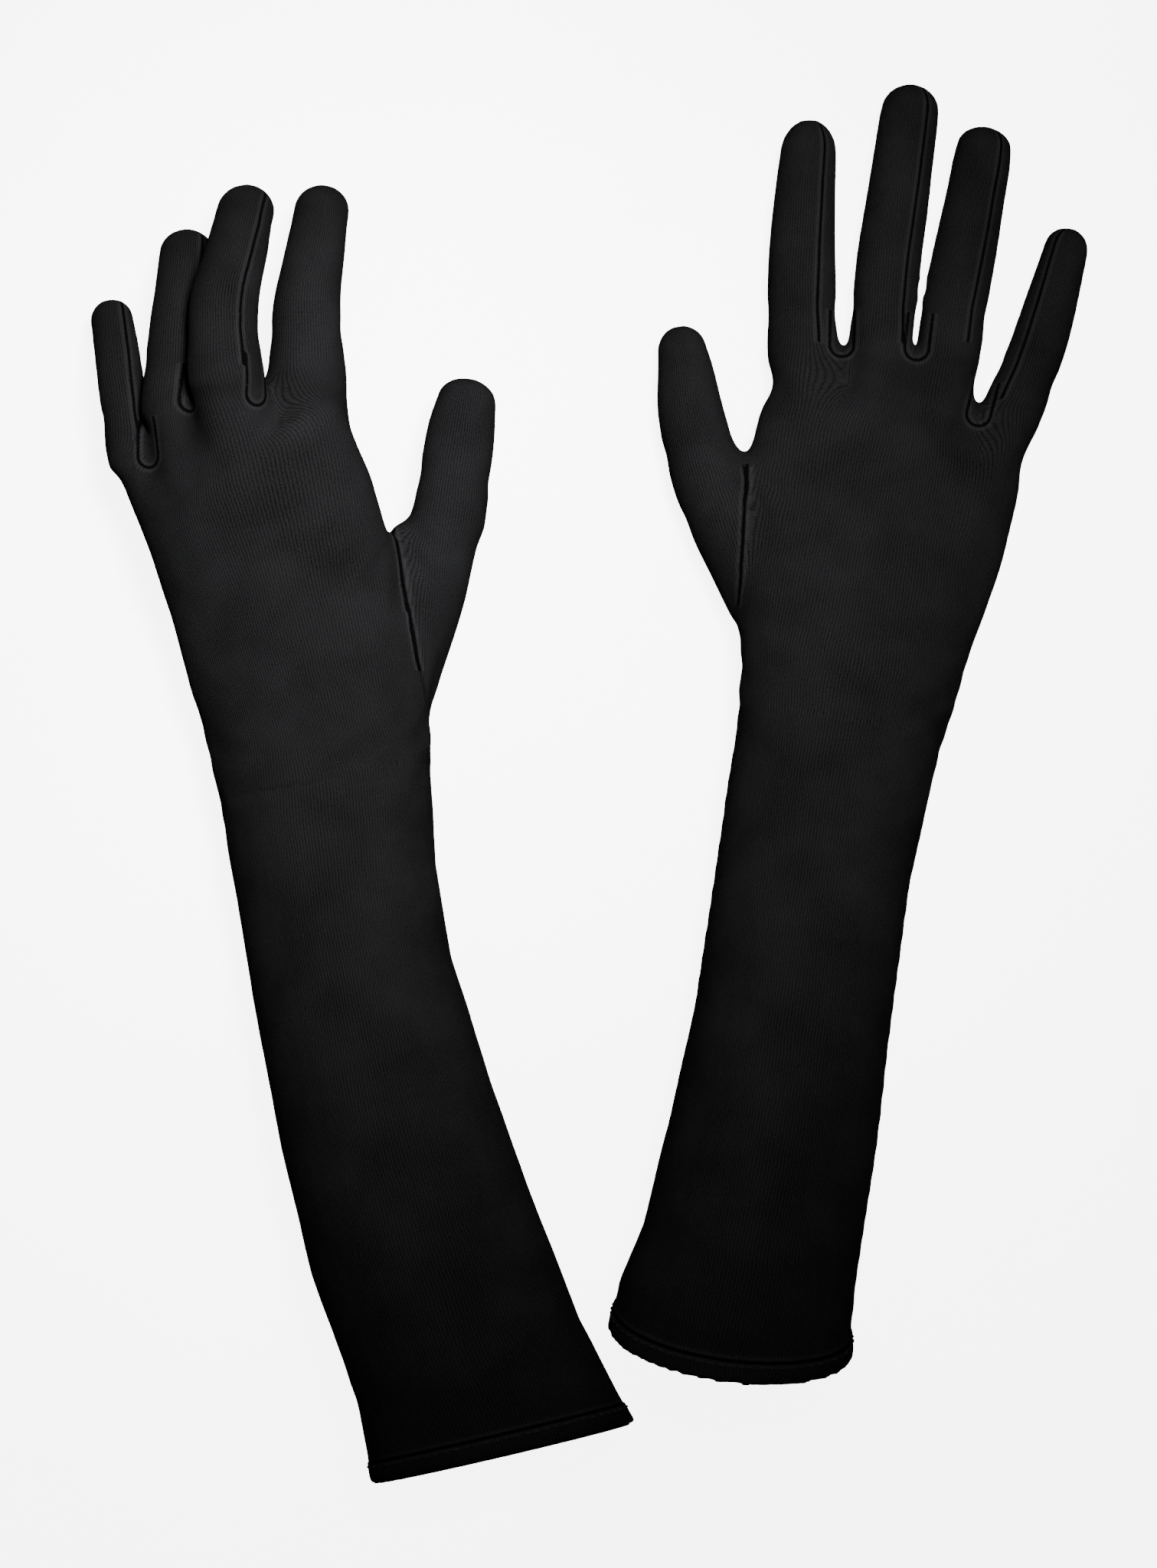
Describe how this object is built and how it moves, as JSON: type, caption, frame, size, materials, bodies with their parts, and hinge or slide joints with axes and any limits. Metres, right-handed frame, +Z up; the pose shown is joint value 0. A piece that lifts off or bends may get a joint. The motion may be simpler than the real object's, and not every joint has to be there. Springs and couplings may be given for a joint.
{
  "type": "pair of elbow-length gloves",
  "caption": "Pair of black elbow-length gloves in fine knitted cloth with side strips in the fingers, set-in thumbs and a turned-up stitched hem.",
  "frame": {"origin": "middle of the pair on the table, under the centre of its bounding box", "axes": "+Y the way the fingers point, +X towards the right glove's little finger, +Z up from the table, out of the backs of the hands"},
  "size_m": [0.3012, 0.4213, 0.0564],
  "materials": {
    "glove_cloth": "soft matt fine knit",
    "strip_cloth": "soft matt fine knit, narrow strips",
    "hem_thread": "twisted sewing thread"
  },
  "bodies": {
    "left_sleeve": {"left_hem": "glove_cloth", "left_hem_stitching": "hem_thread", "left_sleeve": "glove_cloth", "left_wrist": "glove_cloth"},
    "left_hand": {"left_hand": "glove_cloth", "left_thumb_root": "glove_cloth"},
    "left_thumb_base": {"left_thumb_base": "glove_cloth"},
    "left_thumb_tip": {"left_thumb_tip": "glove_cloth"},
    "left_index_base": {"left_index_base": "glove_cloth", "left_index_base_strip": "strip_cloth"},
    "left_index_tip": {"left_index_tip": "glove_cloth", "left_index_tip_strip": "strip_cloth"},
    "left_middle_base": {"left_middle_base": "glove_cloth", "left_middle_base_strips": "strip_cloth"},
    "left_middle_tip": {"left_middle_tip": "glove_cloth", "left_middle_tip_strips": "strip_cloth"},
    "left_ring_base": {"left_ring_base": "glove_cloth", "left_ring_base_strips": "strip_cloth"},
    "left_ring_tip": {"left_ring_tip": "glove_cloth", "left_ring_tip_strips": "strip_cloth"},
    "left_little_base": {"left_little_base": "glove_cloth", "left_little_base_strip": "strip_cloth"},
    "left_little_tip": {"left_little_tip": "glove_cloth", "left_little_tip_strip": "strip_cloth"},
    "right_sleeve": {"right_hem": "glove_cloth", "right_hem_stitching": "hem_thread", "right_sleeve": "glove_cloth", "right_wrist": "glove_cloth"},
    "right_hand": {"right_hand": "glove_cloth", "right_thumb_root": "glove_cloth"},
    "right_thumb_base": {"right_thumb_base": "glove_cloth"},
    "right_thumb_tip": {"right_thumb_tip": "glove_cloth"},
    "right_index_base": {"right_index_base": "glove_cloth", "right_index_base_strip": "strip_cloth"},
    "right_index_tip": {"right_index_tip": "glove_cloth", "right_index_tip_strip": "strip_cloth"},
    "right_middle_base": {"right_middle_base": "glove_cloth", "right_middle_base_strips": "strip_cloth"},
    "right_middle_tip": {"right_middle_tip": "glove_cloth", "right_middle_tip_strips": "strip_cloth"},
    "right_ring_base": {"right_ring_base": "glove_cloth", "right_ring_base_strips": "strip_cloth"},
    "right_ring_tip": {"right_ring_tip": "glove_cloth", "right_ring_tip_strips": "strip_cloth"},
    "right_little_base": {"right_little_base": "glove_cloth", "right_little_base_strip": "strip_cloth"},
    "right_little_tip": {"right_little_tip": "glove_cloth", "right_little_tip_strip": "strip_cloth"}
  },
  "joints": [
    {"name": "pair_lift", "type": "slide", "parent": "left_sleeve", "child": "right_sleeve", "axis": [0, 0, 1], "range_m": [0, 0.2]},
    {"name": "left_wrist_bend", "type": "hinge", "parent": "left_sleeve", "child": "left_hand", "pos_m": [-0.08016, 0.008, 0.01932], "axis": [-0.9945, -0.1047, 0], "range_deg": [-40, 40], "deforming": ["left_wrist"]},
    {"name": "left_thumb_root_bend", "type": "hinge", "parent": "left_hand", "child": "left_thumb_base", "pos_m": [-0.04587, 0.08499, 0.01133], "axis": [-0.8469, 0.1812, 0.5], "range_deg": [-10, 45]},
    {"name": "left_thumb_middle_bend", "type": "hinge", "parent": "left_thumb_base", "child": "left_thumb_tip", "pos_m": [-0.04406, 0.10028, 0.01069], "axis": [-0.8567, 0.1279, 0.4997], "range_deg": [-12, 60]},
    {"name": "left_index_root_bend", "type": "hinge", "parent": "left_hand", "child": "left_index_base", "pos_m": [-0.08393, 0.12608, 0.02714], "axis": [-0.9987, -0.0506, 0], "range_deg": [-14, 60]},
    {"name": "left_index_middle_bend", "type": "hinge", "parent": "left_index_base", "child": "left_index_tip", "pos_m": [-0.08451, 0.13855, 0.02669], "axis": [-0.9993, 0.0373, 0], "range_deg": [-14, 55]},
    {"name": "left_middle_root_bend", "type": "hinge", "parent": "left_hand", "child": "left_middle_base", "pos_m": [-0.10819, 0.12523, 0.03657], "axis": [-0.9937, -0.1121, 0], "range_deg": [-14, 10]},
    {"name": "left_middle_middle_bend", "type": "hinge", "parent": "left_middle_base", "child": "left_middle_tip", "pos_m": [-0.10896, 0.13862, 0.03607], "axis": [-0.9984, 0.0559, 0], "range_deg": [-14, 16]},
    {"name": "left_ring_root_bend", "type": "hinge", "parent": "left_hand", "child": "left_ring_base", "pos_m": [-0.12361, 0.11638, 0.02432], "axis": [-0.9983, -0.059, 0], "range_deg": [-2, 60]},
    {"name": "left_ring_middle_bend", "type": "hinge", "parent": "left_ring_base", "child": "left_ring_tip", "pos_m": [-0.12254, 0.13179, 0.02325], "axis": [-0.9975, 0.0705, 0], "range_deg": [-14, 55]},
    {"name": "left_little_root_bend", "type": "hinge", "parent": "left_hand", "child": "left_little_base", "pos_m": [-0.13771, 0.10267, 0.02028], "axis": [-0.9625, -0.2712, 0], "range_deg": [-9, 48]},
    {"name": "left_little_middle_bend", "type": "hinge", "parent": "left_little_base", "child": "left_little_tip", "pos_m": [-0.14018, 0.11895, 0.01883], "axis": [-0.9888, -0.1491, 0], "range_deg": [-14, 50]},
    {"name": "right_wrist_bend", "type": "hinge", "parent": "right_sleeve", "child": "right_hand", "pos_m": [0.07667, 0.024, 0.01923], "axis": [-0.9823, 0.1871, 0], "range_deg": [-40, 40], "deforming": ["right_wrist"]},
    {"name": "right_thumb_root_bend", "type": "hinge", "parent": "right_hand", "child": "right_thumb_base", "pos_m": [0.03973, 0.09661, 0.00291], "axis": [-0.8057, -0.3181, -0.4997], "range_deg": [-10, 38]},
    {"name": "right_thumb_middle_bend", "type": "hinge", "parent": "right_thumb_base", "child": "right_thumb_tip", "pos_m": [0.03511, 0.11075, 0.00304], "axis": [-0.8406, -0.209, -0.4998], "range_deg": [-12, 50]},
    {"name": "right_index_root_bend", "type": "hinge", "parent": "right_hand", "child": "right_index_base", "pos_m": [0.06435, 0.13451, 0.00103], "axis": [-0.9984, -0.0572, 0], "range_deg": [-14, 80]},
    {"name": "right_index_middle_bend", "type": "hinge", "parent": "right_index_base", "child": "right_index_tip", "pos_m": [0.06415, 0.15368, -0.00015], "axis": [-1, 0.0093, 0], "range_deg": [-5, 90]},
    {"name": "right_middle_root_bend", "type": "hinge", "parent": "right_hand", "child": "right_middle_base", "pos_m": [0.08874, 0.13522, 0.00166], "axis": [-0.9972, 0.0745, 0], "range_deg": [-14, 74]},
    {"name": "right_middle_middle_bend", "type": "hinge", "parent": "right_middle_base", "child": "right_middle_tip", "pos_m": [0.09014, 0.15534, 0.00043], "axis": [-0.9944, 0.1056, 0], "range_deg": [-5, 70]},
    {"name": "right_ring_root_bend", "type": "hinge", "parent": "right_hand", "child": "right_ring_base", "pos_m": [0.10886, 0.13569, 0.00111], "axis": [-0.9868, 0.1621, 0], "range_deg": [-14, 80]},
    {"name": "right_ring_middle_bend", "type": "hinge", "parent": "right_ring_base", "child": "right_ring_tip", "pos_m": [0.1122, 0.15376, 0.00032], "axis": [-0.9818, 0.1898, 0], "range_deg": [-5, 90]},
    {"name": "right_little_root_bend", "type": "hinge", "parent": "right_hand", "child": "right_little_base", "pos_m": [0.12953, 0.11631, 0.00131], "axis": [-0.9273, 0.3743, 0], "range_deg": [-14, 80]},
    {"name": "right_little_middle_bend", "type": "hinge", "parent": "right_little_base", "child": "right_little_tip", "pos_m": [0.13695, 0.13512, 0.00077], "axis": [-0.941, 0.3384, 0], "range_deg": [-5, 90]}
  ]
}
